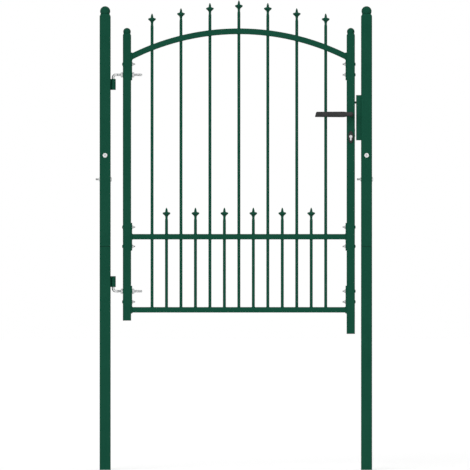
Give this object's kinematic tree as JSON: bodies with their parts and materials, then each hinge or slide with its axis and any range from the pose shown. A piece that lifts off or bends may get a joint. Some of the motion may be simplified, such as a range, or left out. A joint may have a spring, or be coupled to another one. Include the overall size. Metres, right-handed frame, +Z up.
{
  "type": "fence gate",
  "caption": "Arched steel garden gate of round bars with spear finials, hung between two square posts with ball caps.",
  "frame": {"origin": "middle of the hinge post's foot, on the face that stands on the ground or in the footing", "axes": "+X from the hinge post to the latch post, +Y to the back, +Z up along the posts"},
  "size_m": [1, 0.122, 1.724],
  "materials": {
    "green_paint": "satin",
    "zinc_steel": "satin",
    "black_plastic": "satin"
  },
  "bodies": {
    "posts": {"hinge_post_lower": "green_paint", "hinge_post_upper": "green_paint", "hinge_post_cap": "green_paint", "latch_post_lower": "green_paint", "latch_post_upper": "green_paint", "latch_post_cap": "green_paint", "upper_hinge_barrel": "green_paint", "lower_hinge_barrel": "green_paint", "strike_box": "green_paint"},
    "leaf": {"hinge_stile": "green_paint", "lock_stile": "green_paint", "hinge_stile_cap": "green_paint", "lock_stile_cap": "green_paint", "stile_plugs": "black_plastic", "arch_rail": "green_paint", "middle_rail": "green_paint", "bottom_rail": "green_paint", "tall_bar_1": "green_paint", "tall_bar_2": "green_paint", "tall_bar_3": "green_paint", "tall_bar_4": "green_paint", "tall_bar_5": "green_paint", "tall_bar_6": "green_paint", "tall_bar_7": "green_paint", "short_bar_1": "green_paint", "short_bar_2": "green_paint", "short_bar_3": "green_paint", "short_bar_4": "green_paint", "short_bar_5": "green_paint", "short_bar_6": "green_paint", "hinge_top_plate": "green_paint", "hinge_middle_plate": "green_paint", "hinge_bottom_plate": "green_paint", "lock_top_plate": "green_paint", "lock_middle_plate": "green_paint", "lock_bottom_plate": "green_paint", "upper_hinge_hook": "zinc_steel", "lower_hinge_hook": "zinc_steel", "hook_nuts": "zinc_steel", "lock_case": "zinc_steel", "dead_bolt": "zinc_steel", "lock_cylinder": "zinc_steel", "lock_escutcheons": "black_plastic"},
    "levers": {"front_lever": "black_plastic", "back_lever": "black_plastic"},
    "latch": {"latch_bolt": "zinc_steel"}
  },
  "joints": [
    {"name": "leaf_swing", "type": "hinge", "parent": "posts", "child": "leaf", "pos_m": [0.0295, 0, 0.656], "axis": [0, 0, 1], "range_deg": [-90, 90]},
    {"name": "lever_turn", "type": "hinge", "parent": "leaf", "child": "levers", "pos_m": [0.902, 0, 1.3053], "axis": [0, -1, 0], "range_deg": [0, 40], "stiffness_Nm_per_rad": 1.5, "springref_deg": -20.05},
    {"name": "latch_slide", "type": "slide", "parent": "leaf", "child": "latch", "axis": [-1, 0, 0], "range_m": [0, 0.0047]}
  ],
  "couplings": [
    {"joint": "latch_slide", "follows": "lever_turn", "m_per_rad": 0.0067}
  ]
}
